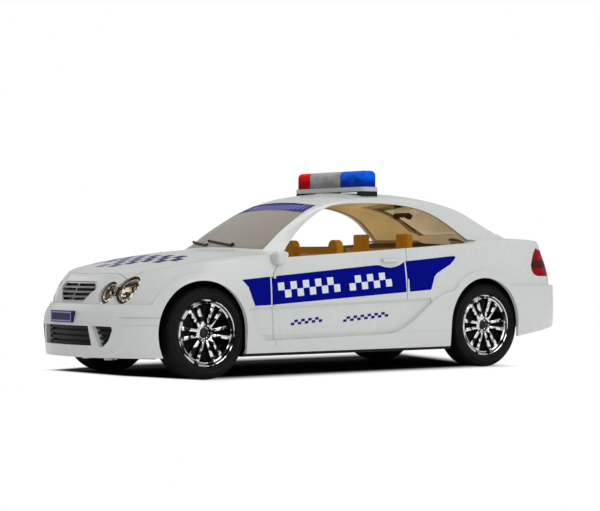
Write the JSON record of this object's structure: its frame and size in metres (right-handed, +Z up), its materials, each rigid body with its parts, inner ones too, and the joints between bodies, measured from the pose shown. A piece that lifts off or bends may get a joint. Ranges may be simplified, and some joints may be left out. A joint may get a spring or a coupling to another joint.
{
  "type": "toy police patrol car",
  "caption": "Plastic toy police coupe with a light bar, amber cabin and a black base; both wheel axles roll freely in the base.",
  "frame": {"origin": "on the floor under the middle of the bounding box", "axes": "+X towards the nose, +Y to the car's left side, +Z up"},
  "size_m": [0.2608, 0.0956, 0.0907],
  "materials": {
    "shell_white": "gloss",
    "base_black": "satin",
    "cabin_amber": "satin",
    "lining_olive": "satin",
    "wheel_dark": "gloss",
    "rubber_black": "matte",
    "rim_bright": "mirror",
    "axle_steel": "satin",
    "bar_red": "gloss",
    "bar_grey": "gloss",
    "bar_blue": "gloss",
    "glazing_taupe": "gloss",
    "lens_clear": "gloss",
    "reflector_dark": "mirror",
    "lamp_red": "gloss",
    "grille_grey": "satin",
    "plate_blue": "gloss"
  },
  "bodies": {
    "car": {"body_shell": "shell_white", "chassis_base": "base_black", "drive_box": "base_black", "cabin_tub": "cabin_amber", "dashboard": "cabin_amber", "steering_wheel": "wheel_dark", "front_seats": "cabin_amber", "rear_bench": "cabin_amber", "headliner": "lining_olive", "windscreen": "glazing_taupe", "rear_window": "glazing_taupe", "wiper_left": "base_black", "wiper_right": "base_black", "mirror_left": "shell_white", "mirror_right": "shell_white", "grille": "grille_grey", "intake_centre": "base_black", "intake_left": "base_black", "intake_right": "base_black", "headlamp_lens_left": "lens_clear", "headlamp_lens_right": "lens_clear", "headlamp_reflector_left": "reflector_dark", "headlamp_reflector_right": "reflector_dark", "tail_lamp_left": "lamp_red", "tail_lamp_right": "lamp_red", "plate_front": "plate_blue", "plate_rear": "plate_blue", "lightbar_base": "shell_white", "lightbar_foot_left": "base_black", "lightbar_foot_right": "base_black", "lightbar_lens_red": "bar_red", "lightbar_lens_grey": "bar_grey", "lightbar_lens_blue": "bar_blue", "screw_1": "axle_steel", "screw_2": "axle_steel", "screw_3": "axle_steel", "screw_4": "axle_steel"},
    "front_axle_set": {"axle_front": "axle_steel", "tyre_front_left": "rubber_black", "tyre_front_right": "rubber_black", "rim_front_left": "rim_bright", "rim_front_right": "rim_bright"},
    "rear_axle_set": {"axle_rear": "axle_steel", "tyre_rear_left": "rubber_black", "tyre_rear_right": "rubber_black", "rim_rear_left": "rim_bright", "rim_rear_right": "rim_bright"}
  },
  "joints": [
    {"name": "front_axle_roll", "type": "hinge", "parent": "car", "child": "front_axle_set", "pos_m": [0.085, 0, 0.0195], "axis": [0, 1, 0], "continuous": true},
    {"name": "rear_axle_roll", "type": "hinge", "parent": "car", "child": "rear_axle_set", "pos_m": [-0.072, 0, 0.0195], "axis": [0, 1, 0], "continuous": true}
  ]
}
